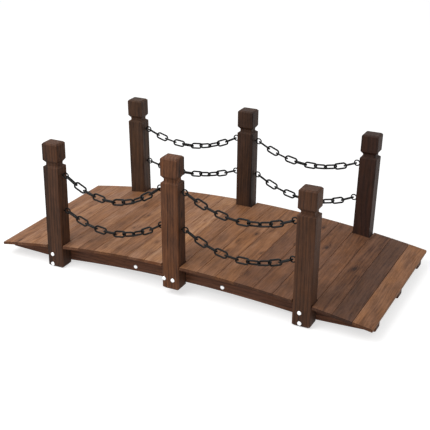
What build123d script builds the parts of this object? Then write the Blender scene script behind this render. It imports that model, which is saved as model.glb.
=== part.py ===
from build123d import *

import os
from math import asin, atan, ceil, cos, degrees, hypot, radians, sin, sqrt, tan

# Arched garden footbridge in stained fir: a deck of cross boards on three bowed
# stringers, six posts bolted outside the stringers, and two chains a bay for a rail.
# Millimetres. Z = 0 is the level ground under the four end posts, X runs along the
# walk and Y across it, with the origin under the middle of the crown.

# Deck
deck_length = 1500
deck_width = 672
deck_radius = 4386
crown_height = 121
board_count = 21
board_thickness = 11
board_gap = 1.0
board_edge_ease = 1.0
end_board_round = 5

# Posts
post_along = 66
post_across = 57
post_length = 498.5
middle_post_lift = 23.5
post_fit = 0.5
post_edge_radius = 3
post_foot_chamfer = 7
post_top_chamfer = 5
head_height = 66
head_slope = 11
neck_height = 9.5
shoulder_slope = 6
groove_depth = 8.5

# How far each post leans along the walk, per millimetre of height: they were bolted up by eye
post_leans = {
    "front_left": 0.012,
    "front_middle": -0.004,
    "front_right": 0.009,
    "back_left": -0.013,
    "back_middle": 0.006,
    "back_right": 0.025,
}

# Stringers and the cross members between them
stringer_thickness = 38
stringer_set_back = 6
arch_clear_height = 36.5
arch_radius = 5150
foot_start = 520
foot_tip_height = 17.5
stringer_end_round = 6
cross_member_x = 178
cross_member_width = 38
cross_member_height = 38
cross_member_rise = 1.5

# Chains and the screw eyes that hold them
upper_eye_drop = 124
lower_eye_drop = 265
eye_stand_off = 16
eye_ring_radius = 10.5
eye_wire = 5
eye_shank_depth = 26
pilot_fit = 0.2
wire = 6.8
link_pitch = 41.1
link_width = 28
link_play = 0.4
least_slack = 1.015
first_link_roll = 64
evenly_crossed_links = 3
end_turn = 74
end_turn_ease = 1.2

# Links of two chains are a little longer or shorter than the rest, as chain from another reel is
link_stretch = {"front_left_upper": 1.027, "back_left_lower": 0.97}

# Worked-out places
half_length = deck_length / 2
half_width = deck_width / 2
board_angle = 2 * asin(half_length / deck_radius) / board_count
board_pitch = 2 * deck_radius * sin(board_angle / 2)
arc_centre_z = crown_height - deck_radius
post_y = half_width - post_across / 2
stringer_y = half_width - post_across - stringer_thickness / 2
post_board = round((board_count - 1) * 0.15)
middle_board = (board_count - 1) // 2
post_x = deck_radius * sin(board_angle * (middle_board - post_board))
groove_height = shoulder_slope + neck_height + head_slope
shoulder_z = post_length - head_height - groove_height
stringer_half_length = half_length - stringer_set_back

os.makedirs("parts", exist_ok=True)


def deck_z(x):
    return arc_centre_z + sqrt(deck_radius**2 - x**2)


def post_middle(x, lean, z):
    """Where the middle of a leaning post is at height z. It is at x where it passes the deck."""
    return x + lean * (z - deck_z(x))


def save(name, part):
    part.label = name
    export_step(part, f"parts/{name}.step")
    print(name, "written")


# Posts: a square body with eased arrises, a groove round the neck and a chamfered head

post_sections = (
    (0, post_foot_chamfer),
    (post_foot_chamfer, 0),
    (shoulder_z, 0),
    (shoulder_z + shoulder_slope, groove_depth),
    (shoulder_z + shoulder_slope + neck_height, groove_depth),
    (shoulder_z + groove_height, 0),
    (post_length - post_top_chamfer, 0),
    (post_length, post_top_chamfer),
)


def make_post(x, side, foot_z, lean, chain_sides):
    with BuildPart() as post:
        for height, inset in post_sections:
            with BuildSketch(Plane.XY.offset(foot_z + height)):
                with Locations((post_middle(x, lean, foot_z + height), side * post_y)):
                    RectangleRounded(post_along - 2 * inset, post_across - 2 * inset, post_edge_radius)
        loft(ruled=True)
        top_z = foot_z + post_length
        for drop in (upper_eye_drop, lower_eye_drop):
            for toward in chain_sides:
                face_x = post_middle(x, lean, top_z - drop) + toward * post_along / 2
                with Locations(Location((face_x, side * post_y, top_z - drop), (0, 90, 0))):
                    Cylinder(eye_wire / 2 + pilot_fit, 2 * (eye_shank_depth + 1), mode=Mode.SUBTRACT)
    return post.part


# Deck boards: laid tight across the stringers, each one flat and tangent to the deck's arc


def make_board(index):
    lean = board_angle * (index - middle_board)
    at_post = index in (post_board, middle_board, board_count - 1 - post_board)
    length = 2 * (post_y - post_across / 2 - post_fit) if at_post else deck_width
    place = Location(
        (deck_radius * sin(lean), 0, arc_centre_z + deck_radius * cos(lean)),
        (0, degrees(lean), 0),
    )
    width = board_pitch - board_gap
    with BuildPart() as board:
        with BuildSketch(Plane.XZ):
            with BuildLine():
                Polyline(
                    (-width / 2, -board_thickness),
                    (-width / 2, 0),
                    (width / 2, 0),
                    (width / 2, -board_thickness),
                    close=True,
                )
            make_face()
        extrude(amount=length / 2, both=True)
        upper_arrises = board.edges().filter_by(Axis.Y).group_by(Axis.Z)[-1].sort_by(Axis.X)
        if index == 0:
            fillet(upper_arrises[0], end_board_round)
            chamfer(upper_arrises[-1], board_edge_ease)
        elif index == board_count - 1:
            fillet(upper_arrises[-1], end_board_round)
            chamfer(upper_arrises[0], board_edge_ease)
        else:
            chamfer(upper_arrises, board_edge_ease)
    return board.part.moved(place)


# Stringers: bowed planks whose top has a flat for each board and whose ends stand level


def arch_z(x):
    return arch_clear_height + sqrt(arch_radius**2 - x**2) - arch_radius


def make_stringer(y):
    seat_radius = (deck_radius - board_thickness) / cos(board_angle / 2)
    seats = []
    for seam in range(1, board_count):
        lean = board_angle * (seam - board_count / 2)
        seats.append((seat_radius * sin(lean), arc_centre_z + seat_radius * cos(lean)))
    end_lean = board_angle * (board_count - 1) / 2
    end_x = stringer_half_length
    end_top_z = seats[-1][1] - (end_x - seats[-1][0]) * tan(end_lean)
    with BuildPart() as stringer:
        with BuildSketch(Plane.XZ.offset(-y)):
            with BuildLine():
                Polyline((-end_x, foot_tip_height), (-end_x, end_top_z), *seats, (end_x, end_top_z), (end_x, foot_tip_height))
                Line((end_x, foot_tip_height), (foot_start, arch_z(foot_start)))
                ThreePointArc(
                    (foot_start, arch_z(foot_start)),
                    (0, arch_clear_height),
                    (-foot_start, arch_z(foot_start)),
                )
                Line((-foot_start, arch_z(foot_start)), (-end_x, foot_tip_height))
            make_face()
        extrude(amount=stringer_thickness / 2, both=True)
        lower_ends = stringer.edges().filter_by(Axis.Y).filter_by_position(
            Axis.Z, foot_tip_height - 0.1, foot_tip_height + 0.1
        )
        fillet(lower_ends, stringer_end_round)
    return stringer.part


# Cross members: square rails between neighbouring stringers, low in each bay


def make_cross_members():
    length = stringer_y - stringer_thickness
    z = arch_z(cross_member_x + cross_member_width / 2) + cross_member_rise + cross_member_height / 2
    z = max(z, arch_z(cross_member_x - cross_member_width / 2) + cross_member_rise + cross_member_height / 2)
    with BuildPart() as rails:
        with Locations([(sx * cross_member_x, sy * stringer_y / 2, z) for sx in (-1, 1) for sy in (-1, 1)]):
            Box(cross_member_width, length, cross_member_height)
    return rails.part


# Screw eyes: a ring standing on a shank that is driven into a pilot hole in the post


def make_eyes(x, side, foot_z, lean, chain_sides):
    with BuildPart() as eyes:
        for drop in (upper_eye_drop, lower_eye_drop):
            for toward in chain_sides:
                z = foot_z + post_length - drop
                face_x = post_middle(x, lean, z) + toward * post_along / 2
                ring_x = face_x + toward * eye_stand_off
                with Locations(Location((ring_x, side * post_y, z), (90, 0, 0))):
                    Torus(eye_ring_radius, eye_wire / 2)
                shank = eye_stand_off - eye_ring_radius + eye_shank_depth
                shank_x = face_x + toward * (eye_stand_off - eye_ring_radius - shank / 2)
                with Locations(Location((shank_x, side * post_y, z), (0, 90, 0))):
                    Cylinder(eye_wire / 2, shank)
    return eyes.part


# Chains: welded links hung from eye to eye. A row of equal links hangs so that the
# tangent of each link's slope grows by the same step from link to link.


def hang_slopes(run, rise, link_count, pitch):
    """Slope angles of the links whose ends are run apart along X and rise apart in Z."""
    step, start = 0.1, -0.5
    for _ in range(60):
        slopes = [atan(start + step * i) for i in range(link_count)]
        miss_run = pitch * sum(cos(s) for s in slopes) - run
        miss_rise = pitch * sum(sin(s) for s in slopes) - rise
        run_start = -pitch * sum(sin(s) * cos(s) ** 2 for s in slopes)
        run_step = -pitch * sum(i * sin(s) * cos(s) ** 2 for i, s in enumerate(slopes))
        rise_start = pitch * sum(cos(s) ** 3 for s in slopes)
        rise_step = pitch * sum(i * cos(s) ** 3 for i, s in enumerate(slopes))
        det = run_start * rise_step - run_step * rise_start
        start -= (miss_run * rise_step - run_step * miss_rise) / det
        step -= (run_start * miss_rise - rise_start * miss_run) / det
        if hypot(miss_run, miss_rise) < 1e-9:
            break
    return slopes


def link_roll(index, link_count):
    """Links cross their neighbours. An even chain also turns near its right end to meet the eye."""
    crossed = first_link_roll - 90 * (index % 2)
    share = max(0, index - evenly_crossed_links) / (link_count - 1 - evenly_crossed_links)
    return crossed - (1 - link_count % 2) * end_turn * share**end_turn_ease


def make_link(pitch):
    bend = (link_width - wire) / 2
    straight = pitch + link_play + wire - 2 * bend
    with BuildPart() as link:
        with BuildLine():
            Line((-straight / 2, bend), (straight / 2, bend))
            RadiusArc((straight / 2, bend), (straight / 2, -bend), bend)
            Line((straight / 2, -bend), (-straight / 2, -bend))
            RadiusArc((-straight / 2, -bend), (-straight / 2, bend), bend)
        with BuildSketch(Plane.YZ.offset(0)):
            with Locations((bend, 0)):
                Circle(wire / 2)
        sweep()
    return link.part


def link_places(left, right, pitch):
    eye_inside = eye_ring_radius - eye_wire / 2
    chord = hypot(right[0] - left[0], right[1] - left[1]) - 2 * eye_inside
    link_count = ceil(chord * least_slack / pitch)
    guess_left, guess_right = radians(-40), radians(35)
    for _ in range(12):
        start = (left[0] + eye_inside * cos(guess_left), left[1] + eye_inside * sin(guess_left))
        end = (right[0] - eye_inside * cos(guess_right), right[1] - eye_inside * sin(guess_right))
        slopes = hang_slopes(end[0] - start[0], end[1] - start[1], link_count, pitch)
        guess_left, guess_right = slopes[0], slopes[-1]
    places = []
    x, z = start
    for index, slope in enumerate(slopes):
        x += pitch / 2 * cos(slope)
        z += pitch / 2 * sin(slope)
        places.append((x, z, slope, link_roll(index, link_count)))
        x += pitch / 2 * cos(slope)
        z += pitch / 2 * sin(slope)
    return places


post_rows = {"front": -1, "back": 1}
post_places = {
    "left": (-post_x, 0, (1,)),
    "middle": (0, middle_post_lift, (-1, 1)),
    "right": (post_x, 0, (-1,)),
}
bays = {"left": ("left", "middle"), "right": ("middle", "right")}

for row, side in post_rows.items():
    for place, (x, foot_z, chain_sides) in post_places.items():
        lean = post_leans[f"{row}_{place}"]
        save(f"post_{row}_{place}", make_post(x, side, foot_z, lean, chain_sides))
        save(f"screw_eyes_{row}_{place}", make_eyes(x, side, foot_z, lean, chain_sides))

for index in range(board_count):
    save(f"deck_board_{index + 1:02d}", make_board(index))

for name, y in (("front", -stringer_y), ("middle", 0), ("back", stringer_y)):
    save(f"{name}_stringer", make_stringer(y))

save("cross_members", make_cross_members())


def ring_centre(row, place, toward, drop):
    x, foot_z, _ = post_places[place]
    z = foot_z + post_length - drop
    middle = post_middle(x, post_leans[f"{row}_{place}"], z)
    return middle + toward * (post_along / 2 + eye_stand_off), z


for row, side in post_rows.items():
    for bay, (left_post, right_post) in bays.items():
        for level, drop in (("upper", upper_eye_drop), ("lower", lower_eye_drop)):
            name = f"{row}_{bay}_{level}"
            pitch = link_pitch * link_stretch.get(name, 1)
            left_ring = ring_centre(row, left_post, 1, drop)
            right_ring = ring_centre(row, right_post, -1, drop)
            link = make_link(pitch)
            with BuildPart() as chain:
                for x, z, slope, roll in link_places(left_ring, right_ring, pitch):
                    frame = Plane((x, side * post_y, z), x_dir=(cos(slope), 0, sin(slope)), z_dir=(0, -1, 0))
                    add(frame.location * Rot(roll, 0, 0) * link)
            save(f"chain_{name}", chain.part)
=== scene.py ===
# %% [markdown]
# # A moon bridge in stained fir
# This lesson dresses the CAD model of a small arched garden bridge. The real one is sawn from
# fir, dipped in a brown stain, bolted together with zinc-plated bolts, and hung with black
# chains for a rail. The CAD model already has the shapes, so most of the work here is on the
# wood: every board and post is cut from its own place in a tree. What the CAD leaves out,
# bolts and nuts, is made with Geometry Nodes.

import math

import bpy
from mathutils import Euler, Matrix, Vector


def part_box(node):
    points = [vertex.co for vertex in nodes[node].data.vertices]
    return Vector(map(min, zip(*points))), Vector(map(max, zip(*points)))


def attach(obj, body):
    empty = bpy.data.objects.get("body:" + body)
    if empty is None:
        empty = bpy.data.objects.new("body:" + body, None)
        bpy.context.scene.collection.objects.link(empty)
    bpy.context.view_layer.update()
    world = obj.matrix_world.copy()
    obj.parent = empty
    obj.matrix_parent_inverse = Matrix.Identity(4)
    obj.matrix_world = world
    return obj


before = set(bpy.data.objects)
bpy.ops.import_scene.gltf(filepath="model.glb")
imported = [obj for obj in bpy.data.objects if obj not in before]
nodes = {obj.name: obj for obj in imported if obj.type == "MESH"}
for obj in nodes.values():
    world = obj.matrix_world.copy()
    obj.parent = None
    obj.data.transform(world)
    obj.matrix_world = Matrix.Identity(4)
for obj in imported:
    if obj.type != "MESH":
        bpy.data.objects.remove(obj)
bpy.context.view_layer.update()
MM = 0.001

# %% [markdown]
# ## Camera
# The photograph was taken from the front right and above, with a short telephoto view. A
# camera fitted to some 170 points of the bridge gives its place, its turn and its lens. A
# small shift stands for the photograph's crop.

# %% Camera
PICTURE_SIDE = 430
SENSOR_MM = 36


def place_camera(place_mm, turn, downward, roll, focal_px, middle_px):
    """A camera from a fit in pixels: where it stands, how it is turned, and its focal length."""
    data = bpy.data.cameras.new("camera")
    data.sensor_width = SENSOR_MM
    data.lens = focal_px / PICTURE_SIDE * data.sensor_width
    data.shift_x = (PICTURE_SIDE / 2 - middle_px[0]) / PICTURE_SIDE
    data.shift_y = (middle_px[1] - PICTURE_SIDE / 2) / PICTURE_SIDE
    camera = bpy.data.objects.new("camera", data)
    camera.location = Vector(place_mm) * MM
    facing = Euler((math.radians(90 - downward), 0, math.radians(turn))).to_matrix()
    tilt = Euler((0, 0, math.radians(roll))).to_matrix()
    camera.rotation_euler = (facing @ tilt).to_euler()
    bpy.context.scene.collection.objects.link(camera)
    bpy.context.scene.camera = camera
    return camera


camera = place_camera(
    place_mm=(1453.617, -2902.478, 1585.837),
    turn=27.568,
    downward=23.35,
    roll=-0.243,
    focal_px=925.182,
    middle_px=(198.295, 215.567),
)
shift = [round(v, 3) for v in (camera.data.shift_x, camera.data.shift_y)]
print("lens", round(camera.data.lens, 1), "mm, shift", shift)

# %% [markdown]
# ## Colour and node helpers
# Colours are written as sRGB hex values, the way a paint chart or a picture editor gives
# them, and one function turns them to the linear light that a renderer works in. One more
# function adds a node. Its inputs are given by name or number, as a value, as a socket, or as
# an earlier node whose first live output is meant, which keeps each tree short.

# %% Helpers


def linear(hex_colour):
    """An sRGB hex colour as linear RGBA."""
    parts = [int(hex_colour[i : i + 2], 16) / 255 for i in (1, 3, 5)]
    return (*[c / 12.92 if c <= 0.04045 else ((c + 0.055) / 1.055) ** 2.4 for c in parts], 1)


def add(tree, kind, inputs=None, **settings):
    """A node with its settings, and each input either linked or given a value."""
    node = tree.nodes.new(kind if "Node" in kind else "ShaderNode" + kind)
    for name, value in settings.items():
        setattr(node, name, value)
    for key, value in (inputs or {}).items():
        if isinstance(value, bpy.types.Node):
            value = next(socket for socket in value.outputs if socket.enabled)
        if isinstance(value, bpy.types.NodeSocket):
            tree.links.new(value, node.inputs[key])
        else:
            node.inputs[key].default_value = value
    return node


def new_material(name):
    """An empty material and its tree."""
    material = bpy.data.materials.new(name)
    material.use_nodes = True
    material.node_tree.nodes.clear()
    return material, material.node_tree


print("middle grey as linear light", [round(c, 3) for c in linear("#808080")])

# %% [markdown]
# ## Light, floor and background
# A product like this is photographed in a light tent: light comes from all round, a little
# more from above and from the front left. The world gives the even part and one large soft
# lamp the rest, at a level where a colour renders about as it is written. The background is
# white because the world and the floor are white to the camera and in reflections, not
# because of more light. The floor's own white is part glow and part lit paper, and the lit
# part keeps the bridge's shadow.

# %% World
WHITE = (1, 1, 1, 1)
TENT_STRENGTH = 0.62
SHOWN_STRENGTH = 1.0


def shown_rays(tree):
    """1 for the rays that show a surface itself: seen by the camera, reflected or through glass."""
    rays = add(tree, "LightPath")
    shown = rays.outputs["Is Camera Ray"]
    for kind in ("Is Glossy Ray", "Is Transmission Ray"):
        shown = add(tree, "Math", {0: shown, 1: rays.outputs[kind]}, operation="MAXIMUM")
    return shown


world = bpy.data.worlds.new("light tent")
bpy.context.scene.world = world
world.use_nodes = True
tree = world.node_tree
tree.nodes.clear()
tent = add(tree, "Background", {"Color": WHITE, "Strength": TENT_STRENGTH})
backdrop = add(tree, "Background", {"Color": WHITE, "Strength": SHOWN_STRENGTH})
either = add(tree, "MixShader", {0: shown_rays(tree), 1: tent, 2: backdrop})
add(tree, "OutputWorld", {0: either})
bpy.context.scene.view_settings.view_transform = "Standard"
print("world", world.name, TENT_STRENGTH)

# %% Lamp
SOFTBOX_WIDTH = 2.6
SOFTBOX_WATTS = 66
SOFTBOX_PLACE = Vector((-0.9, -1.9, 2.9))
DECK_MIDDLE = Vector((0, 0, 0.1))
lamp = bpy.data.lights.new("overhead softbox", "AREA")
lamp.shape = "DISK"
lamp.size = SOFTBOX_WIDTH
lamp.energy = SOFTBOX_WATTS
softbox = bpy.data.objects.new("overhead softbox", lamp)
softbox.location = SOFTBOX_PLACE
softbox.rotation_euler = (DECK_MIDDLE - SOFTBOX_PLACE).to_track_quat("-Z", "Y").to_euler()
bpy.context.scene.collection.objects.link(softbox)
print("lamp", lamp.energy, "W")

# %% Floor
FLOOR_REACH = 40
GLOW_STRENGTH = 0.64
corners = [(x * FLOOR_REACH, y * FLOOR_REACH, 0) for x, y in ((-1, -1), (1, -1), (1, 1), (-1, 1))]
floor_mesh = bpy.data.meshes.new("floor")
floor_mesh.from_pydata(corners, [], [(0, 1, 2, 3)])
floor = bpy.data.objects.new("floor", floor_mesh)
bpy.context.scene.collection.objects.link(floor)
paper, tree = new_material("white background paper")
matt = add(tree, "BsdfDiffuse", {"Color": linear("#a9a6a3")})
lit = add(tree, "BsdfDiffuse", {"Color": linear("#c6c6c6")})
glow = add(tree, "Emission", {"Color": WHITE, "Strength": GLOW_STRENGTH})
white = add(tree, "AddShader", {0: lit, 1: glow})
either = add(tree, "MixShader", {0: shown_rays(tree), 1: matt, 2: white})
add(tree, "OutputMaterial", {0: either})
floor_mesh.materials.append(paper)
print("floor", FLOOR_REACH * 2, "m wide")

# %% [markdown]
# ## Wood
# Sawn fir is a stack of cones: each year adds a pale ring and a dark one, and a board shows
# where the saw met them. A picture of wood could be wrapped round each piece, but its end
# grain would be wrong. Here the tree itself is built, as rings round a heart line, and every
# piece is cut from a different place in it. So a board sawn near the heart shows arches, one
# sawn far from it shows straight lines, and the ends show rings.
#
# One group holds the tree. Its input Place puts a piece in it, in metres, with the grain along
# Y, and the other inputs give the piece's tones and how strong each part of the figure is.
# Real rings are 2 to 4 mm wide. From the camera's distance a pixel is 4 mm too, so the rings
# and fibres are drawn 4 to 12 mm wide, which is as coarse as they need to be to show.

# %% The tree that all pieces are cut from


def grain_scale(across_mm, along_mm):
    """The scale of a pattern whose spots are so wide across the grain and so long along it."""
    return (1 / (across_mm * MM), 1 / (along_mm * MM), 1 / (across_mm * MM))


fir = bpy.data.node_groups.new("sawn fir", "ShaderNodeTree")
for name, kind in (
    ("Place", "NodeSocketVector"),
    ("Facing", "NodeSocketVector"),
    ("Early wood", "NodeSocketColor"),
    ("Late wood", "NodeSocketColor"),
    ("Rings", "NodeSocketFloat"),
    ("Knots", "NodeSocketFloat"),
    ("Heartwood", "NodeSocketFloat"),
    ("End grain", "NodeSocketFloat"),
):
    fir.interface.new_socket(name=name, in_out="INPUT", socket_type=kind)
for name, kind in (
    ("Color", "NodeSocketColor"),
    ("Roughness", "NodeSocketFloat"),
    ("Height", "NodeSocketFloat"),
):
    fir.interface.new_socket(name=name, in_out="OUTPUT", socket_type=kind)
given = add(fir, "NodeGroupInput")
place = given.outputs["Place"]

# The heart wanders by some millimetres within half a metre of stem, which makes the arches
WANDER = 40 * MM
slow = add(fir, "VectorMath", {0: place, 1: grain_scale(200, 530)}, operation="MULTIPLY")
wander = add(fir, "TexNoise", {"Vector": slow, "Scale": 1.0, "Detail": 1.0})
wander = add(fir, "VectorMath", {0: wander.outputs["Color"], 1: (-0.5, -0.5, -0.5)}, operation="ADD")
bent = add(fir, "VectorMath", {0: wander, 1: (WANDER, 0, WANDER), 2: place}, operation="MULTIPLY_ADD")
print("heart line wanders within", WANDER, "m")

# %% [markdown]
# ### Knots
# A knot is where a branch left the stem: small and dark, and the rings swell round it. They
# could be modelled one by one, but nobody looks at a single one from this distance. Voronoi
# cells scatter them instead, at most one to a cell 50 mm wide and 110 mm long, and each cell's
# own random colour says how large its knot is. Cells with a low value have none.

# %% Knots
# Knot sizes are radii, as a share of a cell. A cell whose value is under KNOTS_FROM has none
LARGEST_KNOT = 0.18
SMALLEST_KNOT = 0.03
HALO_REACH = 0.26
KNOTS_FROM = 0.4
cells = add(fir, "VectorMath", {0: place, 1: grain_scale(50, 110)}, operation="MULTIPLY")
cells = add(fir, "TexVoronoi", {"Vector": cells, "Scale": 1.0, "Randomness": 1.0})
cell_value = cells.outputs["Color"]
size = add(fir, "MapRange", {0: cell_value, 1: KNOTS_FROM, 2: 1.0, 3: 0.0, 4: LARGEST_KNOT})
size = add(fir, "Math", {0: size, 1: given.outputs["Knots"]}, operation="MULTIPLY")
gap = add(fir, "Math", {0: cells.outputs["Distance"], 1: size}, operation="SUBTRACT")
knot = add(fir, "MapRange", {0: gap, 1: -0.05, 2: 0.04, 3: 0.85, 4: 0.0}, interpolation_type="SMOOTHSTEP")
has_knot = add(fir, "Math", {0: size, 1: SMALLEST_KNOT}, operation="GREATER_THAN")
knot = add(fir, "Math", {0: knot, 1: has_knot}, operation="MULTIPLY")
halo = add(fir, "MapRange", {0: gap, 1: 0, 2: HALO_REACH, 3: 1, 4: 0}, interpolation_type="SMOOTHSTEP")
halo = add(fir, "Math", {0: halo, 1: has_knot}, operation="MULTIPLY")
print("knots done,", len(fir.nodes), "nodes")

# %% [markdown]
# ### Rings, fibres and patches
# What makes wood look like wood is the pale early wood and the dark late wood of each year,
# and on top of it the short dark strokes of open fibres and an uneven take-up of stain. The
# years come from the distance to the heart line, so they run on from face to face and round
# the end, and the rest is noise stretched along the grain.

# %% Rings
# Distance from the heart line, in metres, counts the years, and a knot pushes them outwards
KNOT_SWELL = 8 * MM
parts = add(fir, "SeparateXYZ", {0: bent})
across = add(fir, "CombineXYZ", {0: parts.outputs[0], 2: parts.outputs[2]})
radius = add(fir, "VectorMath", {0: across}, operation="LENGTH")
radius = add(fir, "Math", {0: halo, 1: KNOT_SWELL, 2: radius.outputs["Value"]}, operation="MULTIPLY_ADD")

# Years that grew alike make bands 12 mm wide, which run on for 38 cm along the stem
BAND_WIDTH = 12 * MM
BAND_LENGTH = 380 * MM
bands = add(fir, "Math", {0: radius, 1: 1 / BAND_WIDTH}, operation="MULTIPLY")
drift = add(fir, "Math", {0: parts.outputs[1], 1: 1 / BAND_LENGTH}, operation="MULTIPLY")
bands = add(fir, "CombineXYZ", {0: bands, 1: drift})
bands = add(fir, "TexNoise", {"Vector": bands, "Scale": 1.0, "Detail": 2.0, "Roughness": 0.6})
bands = add(fir, "MapRange", {0: bands.outputs[0], 1: 0.32, 2: 0.68, 3: 0.0, 4: 1.0})

# One year: pale early wood that darkens into a late-wood line, drawn 11 mm apart
RING_WIDTH = 11 * MM
year = add(fir, "Math", {0: radius, 1: 1 / RING_WIDTH}, operation="MULTIPLY")
year = add(fir, "Math", {0: year}, operation="FRACT")
ring = add(fir, "ValToRGB", {0: year})
stops = ring.color_ramp.elements
stops[0].position, stops[0].color = 0.0, (0.2, 0.2, 0.2, 1)
stops[1].position, stops[1].color = 1.0, (0.2, 0.2, 0.2, 1)
stops.new(0.45).color = (0.0, 0.0, 0.0, 1)
stops.new(0.85).color = (1.0, 1.0, 1.0, 1)

# Heartwood, near the middle of the stem, takes the stain darker
HEARTWOOD_EDGE = (24 * MM, 52 * MM)
heartwood = add(
    fir,
    "MapRange",
    {0: radius, 1: HEARTWOOD_EDGE[0], 2: HEARTWOOD_EDGE[1], 3: 1.0, 4: 0.0},
    interpolation_type="SMOOTHSTEP",
)
heartwood = add(fir, "Math", {0: heartwood, 1: given.outputs["Heartwood"]}, operation="MULTIPLY")
print("rings", RING_WIDTH, "m apart, heartwood within", HEARTWOOD_EDGE[1], "m")

# %% Fibres, patches and end grain
# Fibres: dark strokes about 4 mm wide and 11 cm long
fibres = add(fir, "VectorMath", {0: bent, 1: grain_scale(4.4, 110)}, operation="MULTIPLY")
fibres = add(fir, "TexNoise", {"Vector": fibres, "Scale": 1.0, "Detail": 4.0, "Roughness": 0.75})
fibres = add(fir, "MapRange", {0: fibres.outputs[0], 1: 0.40, 2: 0.63, 3: 0.0, 4: 1.0})

# The stain soaks in unevenly, in patches from some millimetres to some centimetres wide
patches = add(fir, "VectorMath", {0: place, 1: grain_scale(42, 110)}, operation="MULTIPLY")
patches = add(fir, "TexNoise", {"Vector": patches, "Scale": 1.0, "Detail": 5.0, "Roughness": 0.78})
patches = add(fir, "MapRange", {0: patches.outputs[0], 1: 0.34, 2: 0.66, 3: 0.0, 4: 1.0})

# End grain drinks more stain: that is where the surface faces along the stem
ends = add(fir, "SeparateXYZ", {0: given.outputs["Facing"]})
ends = add(fir, "Math", {0: ends.outputs[1]}, operation="ABSOLUTE")
ends = add(fir, "MapRange", {0: ends, 1: 0.7, 2: 0.95, 3: 0.0, 4: 1.0})
ends = add(fir, "Math", {0: ends, 1: given.outputs["End grain"]}, operation="MULTIPLY")
print("fibres and patches done,", len(fir.nodes), "nodes")

# %% [markdown]
# ### Stain on the wood
# Brown stain soaks in more where the wood is open or old, so one kind of wood shows as many
# browns. Each part of the figure could have a colour of its own, but then every piece would
# need all of them again. Here every part adds its share to one darkness, and the darkness
# picks a colour between the two tones that a piece is given.

# %% Darkness and colour
# The rings add about as much as they take away, so strong rings don't make a piece darker
RING_MEAN = 0.38
dark = add(fir, "Math", {0: bands, 1: 0.26}, operation="MULTIPLY")
late = add(fir, "Math", {0: ring, 1: RING_MEAN}, operation="SUBTRACT")
dark = add(fir, "Math", {0: late, 1: given.outputs["Rings"], 2: dark}, operation="MULTIPLY_ADD")
for part, share in ((fibres, 0.38), (patches, 0.36), (halo, 0.25), (heartwood, 0.6), (ends, 0.5)):
    dark = add(fir, "Math", {0: part, 1: share, 2: dark}, operation="MULTIPLY_ADD")
early_wood, late_wood = given.outputs["Early wood"], given.outputs["Late wood"]
tone = add(fir, "Mix", {0: dark, 6: early_wood, 7: late_wood}, data_type="RGBA")

# The stain is redder in some places and yellower in others. The pattern is as wide as that of
# the dark patches, but shifted, so that colour and darkness vary each on their own
ELSEWHERE = (7.3, 1.9, 4.1)
hue = add(fir, "VectorMath", {0: place, 1: grain_scale(42, 110)}, operation="MULTIPLY")
hue = add(fir, "VectorMath", {0: hue, 1: ELSEWHERE}, operation="ADD")
hue = add(fir, "TexNoise", {"Vector": hue, "Scale": 1.0, "Detail": 2.0})
hue = add(fir, "MapRange", {0: hue.outputs[0], 1: 0.35, 2: 0.65, 3: 0.0, 4: 1.0})
tint = add(fir, "Mix", {0: hue, 6: linear("#ffeeda"), 7: linear("#fff9ff")}, data_type="RGBA")
tone = add(fir, "Mix", {0: 1.0, 6: tone, 7: tint}, data_type="RGBA", blend_type="MULTIPLY")
tone = add(fir, "Mix", {0: knot, 6: tone, 7: linear("#2c1a11")}, data_type="RGBA")

# Dark wood is open, so it is rougher, and fibres and late wood lie a little lower
rough = add(fir, "MapRange", {0: dark, 1: 0.0, 2: 1.0, 3: 0.6, 4: 0.72})
height = add(fir, "Math", {0: fibres, 1: -0.6}, operation="MULTIPLY")
height = add(fir, "Math", {0: ring, 1: -0.4, 2: height}, operation="MULTIPLY_ADD")
add(fir, "NodeGroupOutput", {0: tone, 1: rough, 2: height})
print("sawn fir group,", len(fir.nodes), "nodes")

# %% [markdown]
# ## Stained fir, cut and finished
# The stain is a thin brown film: it leaves the figure showing, fills the pores and has a dull
# sheen. A piece's material places it in the tree with a Mapping node, which turns the grain
# to Y and puts the heart where it lay beside the saw cut. The relief of the grain is half a
# millimetre at most, which only shows in the sheen.

# %% A piece's own material
GRAIN_RELIEF = 0.5 * MM


def finish(node, material):
    """Gives a CAD node one material and no other."""
    data = nodes[node].data
    data.materials.clear()
    data.materials.append(material)


def stained_fir(name, node, grain, heart, tones, rings=0.34, knots=1, heartwood=1, end_grain=1, lean=0):
    """Stained sawn fir for one piece. heart, in millimetres, is seen from the piece's middle."""
    material, tree = new_material(name)
    low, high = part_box(node)
    quarter = math.radians(90)
    turn = {"X": (0, 0, quarter), "Y": (0, lean, 0), "Z": (quarter, 0, 0)}[grain]
    turned = Euler(turn).to_matrix() @ ((low + high) / 2)
    offset = Vector(heart) * MM - turned
    where = add(tree, "TexCoord").outputs["Object"]
    cut = add(tree, "Mapping", {"Vector": where, "Location": offset, "Rotation": turn})
    normal = add(tree, "NewGeometry").outputs["Normal"]
    facing = add(tree, "Mapping", {"Vector": normal, "Rotation": turn}, vector_type="VECTOR")
    wood = add(
        tree,
        "Group",
        {
            "Place": cut,
            "Facing": facing,
            "Early wood": linear(tones[0]),
            "Late wood": linear(tones[1]),
            "Rings": rings,
            "Knots": knots,
            "Heartwood": heartwood,
            "End grain": end_grain,
        },
        node_tree=fir,
    )
    height = wood.outputs["Height"]
    relief = add(tree, "Bump", {"Height": height, "Strength": 0.6, "Distance": GRAIN_RELIEF})
    film = add(
        tree,
        "BsdfPrincipled",
        {
            "Base Color": wood.outputs["Color"],
            "Roughness": wood.outputs["Roughness"],
            "Normal": relief,
            "IOR": 1.45,
            "Specular IOR Level": 0.3,
        },
    )
    add(tree, "OutputMaterial", {0: film})
    finish(node, material)


print("grain relief", GRAIN_RELIEF, "m")

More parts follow.
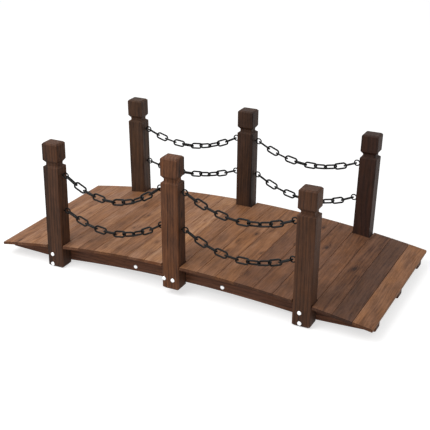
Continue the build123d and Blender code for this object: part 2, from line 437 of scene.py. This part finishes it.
# %% [markdown]
# ## Deck boards
# No two boards are alike. The left half of this deck is a warm tan, the right half browner,
# and two boards stand out: the tenth is the palest and the twentieth the darkest. One material
# for all would make the deck look printed, so each board gets its tone from a short chart and
# its own place in the tree. The heart always lies below the board, so that its top shows
# flat-sawn wood, and the rings lean with the board, since the deck is an arc.

# %% Boards
BOARD_TONES = {
    "pale": ("#c39a74", "#6b442c"),
    "tan": ("#b48a67", "#5e3d29"),
    "warm": ("#a57955", "#553724"),
    "brown": ("#896144", "#40281b"),
    "dusk": ("#6c4c37", "#332017"),
}
left_half = "warm tan tan warm tan warm tan warm tan pale"
right_half = "warm warm warm warm brown brown brown brown brown dusk warm"
board_tones = f"{left_half} {right_half}".split()
DECK_RADIUS = 4386 * MM
HEART_SPREAD_MM = 190
HEART_DEPTH_MM = 18
DEPTH_SPREAD_MM = 75
FIRST_CUT_MM = 300
CUT_STEP_MM = 1700
scatter = [(37 * i * i + 91 * i) % 101 / 101 for i in range(1, len(board_tones) + 1)]
for i, tone_name in enumerate(board_tones):
    node = f"deck_board_{i + 1:02d}"
    low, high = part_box(node)
    aside = HEART_SPREAD_MM * (scatter[i] - 0.5)
    below = HEART_DEPTH_MM + DEPTH_SPREAD_MM * scatter[-1 - i]
    heart = (aside, CUT_STEP_MM * i + FIRST_CUT_MM, -below)
    lean = -math.asin((low.x + high.x) / 2 / DECK_RADIUS)
    tones = BOARD_TONES[tone_name]
    name = f"stained fir board {i + 1:02d}"
    stained_fir(name, node, "Y", heart, tones, rings=0.14, heartwood=0.3, lean=lean)
print(len(board_tones), "boards stained")

# %% [markdown]
# ## Posts, stringers and cross members
# The frame timber is stained darker than the deck. The posts are sawn with the heart outside
# them, so straight streaks run up two sides and long arches up the others. A post's side
# that lay nearest the heart came out darker. They are cut from the same tree as the boards, in
# darker tones, so that all of the bridge reads as one timber.

# %% Frame timber
POST_TONES = {
    "light": ("#7a5135", "#24150e"),
    "plain": ("#5c3d28", "#20130b"),
    "brown": ("#543c2a", "#1f130c"),
    "deep": ("#4c3526", "#1c110c"),
    "darkest": ("#41291e", "#160c08"),
}
posts = {
    "front_left": ("plain", (50, 300, 56)),
    "front_middle": ("light", (-70, 900, -10)),
    "front_right": ("plain", (-46, 1500, 70)),
    "back_left": ("brown", (58, 2300, -50)),
    "back_middle": ("deep", (-60, 3100, 40)),
    "back_right": ("darkest", (44, 3900, -46)),
}
for name, (tone_name, heart) in posts.items():
    tones = POST_TONES[tone_name]
    stained_fir(f"stained fir post {name}", f"post_{name}", "Z", heart, tones, knots=0.7, end_grain=0)

STRINGER_TONES = ("#825840", "#38241c")
for i, node in enumerate(("front_stringer", "middle_stringer", "back_stringer")):
    heart = (30 - 25 * i, 5000 + 1800 * i, 90)
    stained_fir(f"stained fir {node}", node, "X", heart, STRINGER_TONES, knots=0.6)
stained_fir("stained fir cross members", "cross_members", "Y", (80, 12000, 60), STRINGER_TONES)
print("posts, stringers and cross members stained")

# %% [markdown]
# ## Chains and screw eyes
# The chain is bent from steel wire, welded, and painted black. The paint is smooth with a
# half gloss, and slightly uneven where it ran, so the highlights on the links are soft. An even
# black would be simpler, but then each link shows one hard streak. Here one noise varies the
# tone, the gloss and the relief, in runs 6 mm across, about as wide as the wire.

# %% Black painted steel
PAINT_RUN = 6 * MM
black, tree = new_material("black painted welded steel chain")
where = add(tree, "TexCoord")
runs = add(tree, "TexNoise", {"Vector": where.outputs["Object"], "Scale": 1 / PAINT_RUN, "Detail": 3.0})
shade = add(tree, "Mix", {0: runs.outputs[0], 6: linear("#020202"), 7: linear("#0b0a09")}, data_type="RGBA")
gloss = add(tree, "MapRange", {0: runs.outputs[0], 1: 0.3, 2: 0.7, 3: 0.34, 4: 0.5})
relief = add(tree, "Bump", {"Height": runs.outputs[0], "Strength": 0.3, "Distance": 0.4 * MM})
paint = add(
    tree,
    "BsdfPrincipled",
    {"Base Color": shade, "Roughness": gloss, "Normal": relief, "IOR": 1.5, "Specular IOR Level": 0.2},
)
add(tree, "OutputMaterial", {0: paint})
chain_nodes = [n for n in nodes if n.startswith(("chain_", "screw_eyes_"))]
for node in chain_nodes:
    finish(node, black)
print(len(chain_nodes), "chain and eye nodes painted")

# %% [markdown]
# ## Bolts and nuts
# Carriage bolts hold the posts to the stringers: a smooth low dome outside, a washer and a
# nut inside. They are bright zinc, whitish with a fine crystalline mottle. There are many
# alike, so Geometry Nodes set one turned profile on a point for each bolt.
#
# A turned part is a grid rolled up: one side of the grid is the angle, the other runs along
# the profile, and two curves give its radius and its height. The seam and the middle are
# then merged, which leaves a closed head.

# %% Zinc plate
CRYSTAL = 1.4 * MM
zinc, tree = new_material("bright zinc-plated steel")
where = add(tree, "TexCoord")
mottle = add(tree, "TexNoise", {"Vector": where.outputs["Object"], "Scale": 1 / CRYSTAL, "Detail": 2.0})
greyer, whiter = linear("#eef0f2"), linear("#ffffff")
shade = add(tree, "Mix", {0: mottle.outputs[0], 6: greyer, 7: whiter}, data_type="RGBA")
gloss = add(tree, "MapRange", {0: mottle.outputs[0], 1: 0.3, 2: 0.7, 3: 0.34, 4: 0.5})
plate = add(tree, "BsdfPrincipled", {"Base Color": shade, "Roughness": gloss, "Metallic": 1.0})
add(tree, "OutputMaterial", {0: plate})
print("zinc", zinc.name)

# %% A tree that sets turned parts on points
SEAM_MERGE = 0.02 * MM


def turned_parts_tree(name, radii, heights, corners):
    """Geometry Nodes: a turned or many-sided part on every point, facing where "turn" says."""
    tree = bpy.data.node_groups.new(name, "GeometryNodeTree")
    for label, kind in (
        ("Points", "NodeSocketGeometry"),
        ("Radius", "NodeSocketFloat"),
        ("Height", "NodeSocketFloat"),
        ("Finish", "NodeSocketMaterial"),
    ):
        tree.interface.new_socket(name=label, in_out="INPUT", socket_type=kind)
    tree.interface.new_socket(name="Parts", in_out="OUTPUT", socket_type="NodeSocketGeometry")
    given = add(tree, "NodeGroupInput")
    rows = len(radii)
    counts = {"Size X": 1.0, "Size Y": 1.0, "Vertices X": corners + 1, "Vertices Y": rows}
    grid = add(tree, "GeometryNodeMeshGrid", counts)
    split = add(tree, "SeparateXYZ", {0: add(tree, "GeometryNodeInputPosition")})
    angle = add(tree, "Math", {0: split.outputs[0], 1: 2 * math.pi}, operation="MULTIPLY")
    share = add(tree, "Math", {0: split.outputs[1], 1: 0.5}, operation="ADD")
    sides = []
    for values in (radii, heights):
        curve = add(tree, "ShaderNodeFloatCurve", {"Value": share})
        points = curve.mapping.curves[0].points
        while len(points) < rows:
            points.new(0.5, 0.5)
        for i, value in enumerate(values):
            points[i].location = (i / (rows - 1), value)
            points[i].handle_type = "VECTOR"
        curve.mapping.update()
        sides.append(curve)
    radius = add(tree, "Math", {0: sides[0], 1: given.outputs["Radius"]}, operation="MULTIPLY")
    height = add(tree, "Math", {0: sides[1], 1: given.outputs["Height"]}, operation="MULTIPLY")
    cosine = add(tree, "Math", {0: angle}, operation="COSINE")
    sine = add(tree, "Math", {0: angle}, operation="SINE")
    x = add(tree, "Math", {0: radius, 1: cosine}, operation="MULTIPLY")
    y = add(tree, "Math", {0: radius, 1: sine}, operation="MULTIPLY")
    rolled = add(tree, "CombineXYZ", {0: x, 1: y, 2: height})
    part = add(tree, "GeometryNodeSetPosition", {"Geometry": grid, "Position": rolled})
    part = add(tree, "GeometryNodeMergeByDistance", {"Geometry": part, "Distance": SEAM_MERGE})
    turn = add(tree, "GeometryNodeInputNamedAttribute", {"Name": "turn"}, data_type="FLOAT_VECTOR")
    placed = add(
        tree,
        "GeometryNodeInstanceOnPoints",
        {"Points": given.outputs["Points"], "Instance": part, "Rotation": turn},
    )
    real = add(tree, "GeometryNodeRealizeInstances", {0: placed})
    coated = add(tree, "GeometryNodeSetMaterial", {"Geometry": real, "Material": given.outputs["Finish"]})
    add(tree, "NodeGroupOutput", {0: coated})
    return tree


def set_parts(name, tree, places, radius_mm, height_mm, smooth):
    """Runs the tree on points given as (x, y, z in mm, turn), and keeps the result as a plain mesh."""
    points = bpy.data.meshes.new(name)
    points.from_pydata([Vector(p[:3]) * MM for p in places], [], [])
    turns = points.attributes.new("turn", "FLOAT_VECTOR", "POINT")
    for i, place in enumerate(places):
        turns.data[i].vector = place[3]
    maker = bpy.data.objects.new(name + "_maker", points)
    bpy.context.scene.collection.objects.link(maker)
    modifier = maker.modifiers.new("parts", "NODES")
    modifier.node_group = tree
    values = {"Radius": radius_mm * MM, "Height": height_mm * MM, "Finish": zinc}
    for item in tree.interface.items_tree:
        if item.in_out == "INPUT" and item.name in values:
            modifier[item.identifier] = values[item.name]
    shaped = maker.evaluated_get(bpy.context.evaluated_depsgraph_get())
    mesh = bpy.data.meshes.new_from_object(shaped)
    bpy.data.objects.remove(maker)
    mesh.polygons.foreach_set("use_smooth", [smooth] * len(mesh.polygons))
    piece = bpy.data.objects.new(name, mesh)
    bpy.context.scene.collection.objects.link(piece)
    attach(piece, "root")
    print(name, len(places), "parts,", len(mesh.polygons), "faces")


print("seams merged within", SEAM_MERGE, "m")

# %% [markdown]
# ### Where the bolts go
# Each post is held by two bolts through the stringer, and one more bolt shows in each bay,
# where a cross member meets the stringer inside. The places on the front come from the
# photograph, in millimetres along the walk and above the ground. The back row, which is hidden,
# gets the same ones. A nut sits where a post's bolt comes out inside the stringer. The lowest
# bolts of the end posts get none, since they meet the stringer's lower edge.

# %% Bolt places
front_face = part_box("post_front_left")[0].y / MM
stringer_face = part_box("front_stringer")[0].y / MM
inner_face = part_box("front_stringer")[1].y / MM
toward_front, toward_back = (math.radians(90), 0, 0), (math.radians(-90), 0, 0)
post_bolts = [(-514, 53), (-516, 12.5), (9, 63), (-26, 64), (494, 54), (496, 15)]
cross_bolts = [(-179, 50), (179, 49)]
NUT_ROOM_FROM = 40
heads, nuts = [], []
for side, outward, inward in ((1, toward_front, toward_back), (-1, toward_back, toward_front)):
    heads += [(x, side * front_face, z, outward) for x, z in post_bolts]
    heads += [(x, side * stringer_face, z, outward) for x, z in cross_bolts]
    nuts += [(x, side * inner_face, z, inward) for x, z in post_bolts if z > NUT_ROOM_FROM]
print(len(heads), "heads,", len(nuts), "nuts")

# %% Bolt heads
HEAD_RADIUS, HEAD_HEIGHT = 7.8, 3.6
dome = turned_parts_tree(
    "domed bolt heads",
    radii=(0, 1, 1, 0.975, 0.9, 0.78, 0.62, 0.44, 0.25, 0.1, 0),
    heights=(0, 0, 0.22, 0.34, 0.56, 0.75, 0.88, 0.95, 0.985, 1, 1),
    corners=32,
)
set_parts("bolt_heads", dome, heads, HEAD_RADIUS, HEAD_HEIGHT, smooth=True)

# %% Washers and nuts inside the stringers
WASHER_RADIUS, WASHER_HEIGHT = 8.5, 1.4
NUT_RADIUS, NUT_HEIGHT = 7.0, 5.0
disc = turned_parts_tree(
    "washers",
    radii=(0, 1, 1, 0.97, 0.5, 0),
    heights=(0, 0, 0.8, 1, 1, 1),
    corners=32,
)
hexagon = turned_parts_tree(
    "hexagon nuts",
    radii=(0, 1, 1, 0.9, 0.45, 0.45, 0),
    heights=(0, 0, 0.86, 1, 1, 0.8, 0.8),
    corners=6,
)
set_parts("washers", disc, nuts, WASHER_RADIUS, WASHER_HEIGHT, smooth=False)
lifted = [(x, y - math.copysign(WASHER_HEIGHT, y), z, turn) for x, y, z, turn in nuts]
set_parts("hex_nuts", hexagon, lifted, NUT_RADIUS, NUT_HEIGHT, smooth=False)
